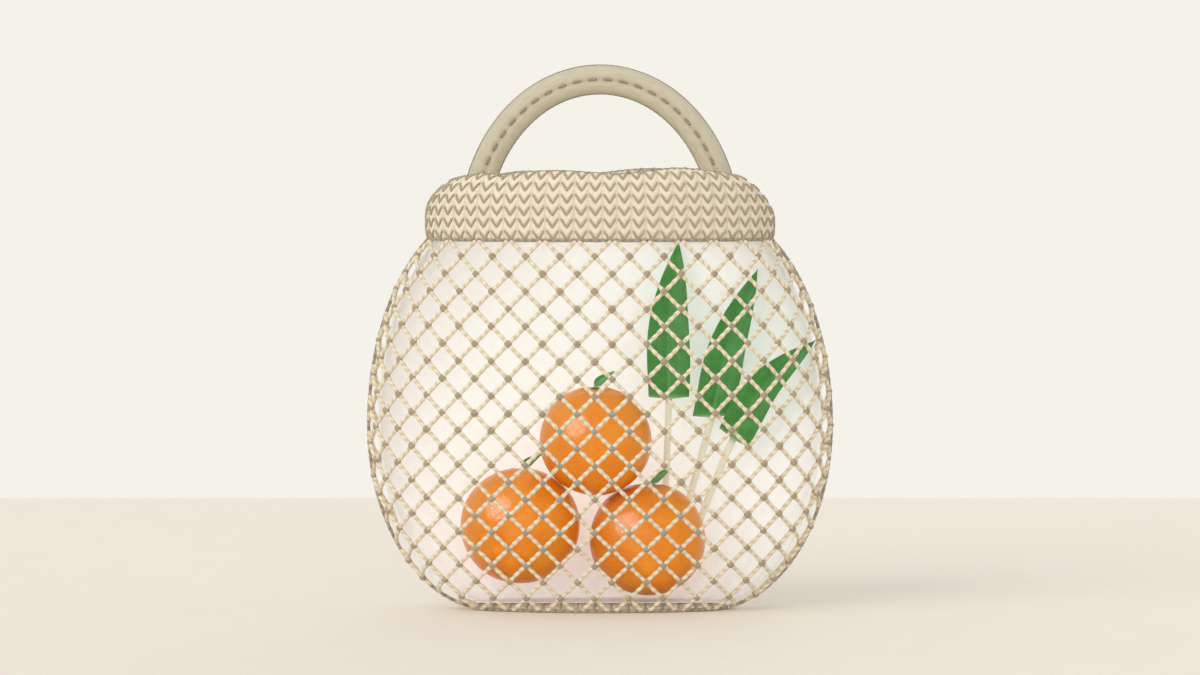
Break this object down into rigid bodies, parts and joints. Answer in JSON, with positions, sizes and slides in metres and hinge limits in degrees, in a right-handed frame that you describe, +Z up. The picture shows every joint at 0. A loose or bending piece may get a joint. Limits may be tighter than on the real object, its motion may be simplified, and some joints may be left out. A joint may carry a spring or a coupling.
{
  "type": "crocheted market bag",
  "caption": "Open crocheted net bag with a cloth back, standing on a flat oval base, with a plump stitched collar, an arched handle, and oranges and long green leaves inside.",
  "frame": {"origin": "middle of the flat base, on the surface that the bag stands on", "axes": "+Z up towards the handle, +X along the bag's width, -Y towards the front"},
  "size_m": [0.302, 0.14, 0.3536],
  "materials": {
    "net": "cream cotton yarn",
    "lining": "off-white cotton cloth",
    "collar": "cream crochet with taupe stitches",
    "handle": "stuffed beige cloth tube",
    "peel": "dimpled orange peel",
    "leaf": "fresh green leaf"
  },
  "bodies": {
    "root": {"net_body": "net", "back_lining": "lining", "collar": "collar", "handle": "handle", "orange_left": "peel", "orange_right": "peel", "orange_upper": "peel", "orange_left_leaf": "leaf", "orange_right_leaf": "leaf", "orange_upper_leaf": "leaf", "green_leaf_upright": "leaf", "green_leaf_leaning": "leaf", "green_leaf_low": "leaf"}
  },
  "joints": []
}
